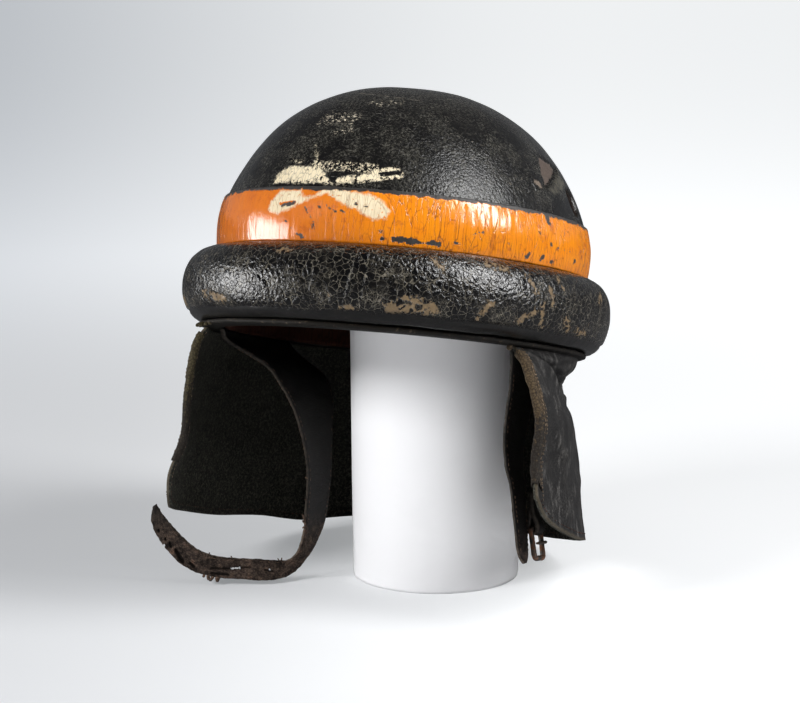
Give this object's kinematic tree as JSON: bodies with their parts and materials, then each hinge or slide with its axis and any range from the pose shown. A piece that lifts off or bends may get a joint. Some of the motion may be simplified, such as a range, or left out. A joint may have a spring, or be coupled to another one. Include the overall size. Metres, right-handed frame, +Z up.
{
  "type": "leather motorcycle helmet on a display cylinder",
  "caption": "Basin-shaped leather motorcycle helmet with a padded brim roll, painted band, neck curtain, open chin strap and wire buckle, standing on a plain card cylinder.",
  "frame": {"origin": "centre of the display cylinder's foot, on the floor", "axes": "+Z up, the helmet's face opening towards -Y, +X on the viewer's right from the front"},
  "size_m": [0.2325, 0.2628, 0.2719],
  "materials": {
    "lacquered_leather": "black lacquered leather, semi-gloss, scuffed and flaked",
    "orange_paint": "orange painted leather, cracked from top to bottom, chipped",
    "roll_leather": "black glazed leather, finely crazed, rubbed through to brown",
    "curtain_leather": "dull black-grey leather",
    "binding_leather": "worn brown binding leather",
    "strap_leather": "dry grey-brown cracked leather",
    "liner_leather": "dark red-brown leather",
    "rusty_wire": "rusted steel wire",
    "white_card": "matt white card"
  },
  "bodies": {
    "root": {"crown": "lacquered_leather", "painted_band": "orange_paint", "brim_roll": "roll_leather", "rim_welt": "curtain_leather", "sweatband": "liner_leather", "neck_curtain": "curtain_leather", "edge_binding_right": "binding_leather", "edge_binding_left": "binding_leather", "chin_strap": "strap_leather", "buckle_strap": "strap_leather", "buckle_frame": "rusty_wire", "buckle_prong": "rusty_wire", "stand": "white_card"}
  },
  "joints": []
}
